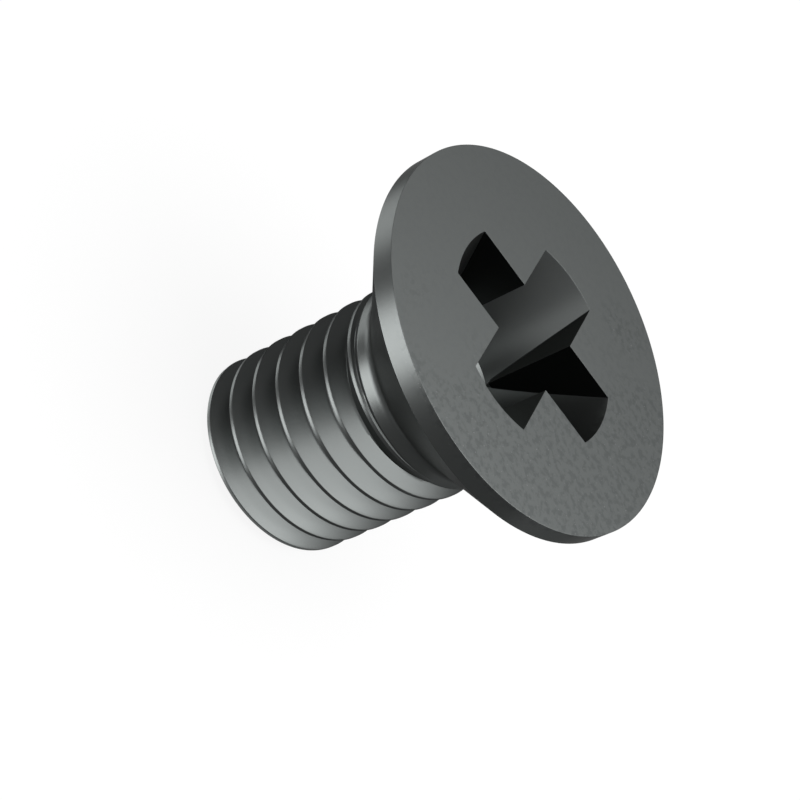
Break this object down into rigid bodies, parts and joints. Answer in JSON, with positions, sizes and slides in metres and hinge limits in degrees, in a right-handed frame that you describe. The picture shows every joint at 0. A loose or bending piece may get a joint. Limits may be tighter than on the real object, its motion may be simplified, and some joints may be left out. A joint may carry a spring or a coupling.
{
  "type": "countersunk machine screw",
  "caption": "Countersunk machine screw: flat head with a cross recess on a cone, plain neck and a short shank with a coarse right-hand thread up to its flat end.",
  "frame": {"origin": "centre of the shank's flat end, which is the middle of the underside of the part's box as it stands on that end", "axes": "+Z along the screw's axis, from the flat end to the head; the wings of the cross recess lie along X and Y"},
  "size_m": [0.018, 0.018, 0.016],
  "materials": {
    "dark_steel": "black-finished steel, satin, faintly mottled on the head"
  },
  "bodies": {
    "root": {"screw": "dark_steel"}
  },
  "joints": []
}
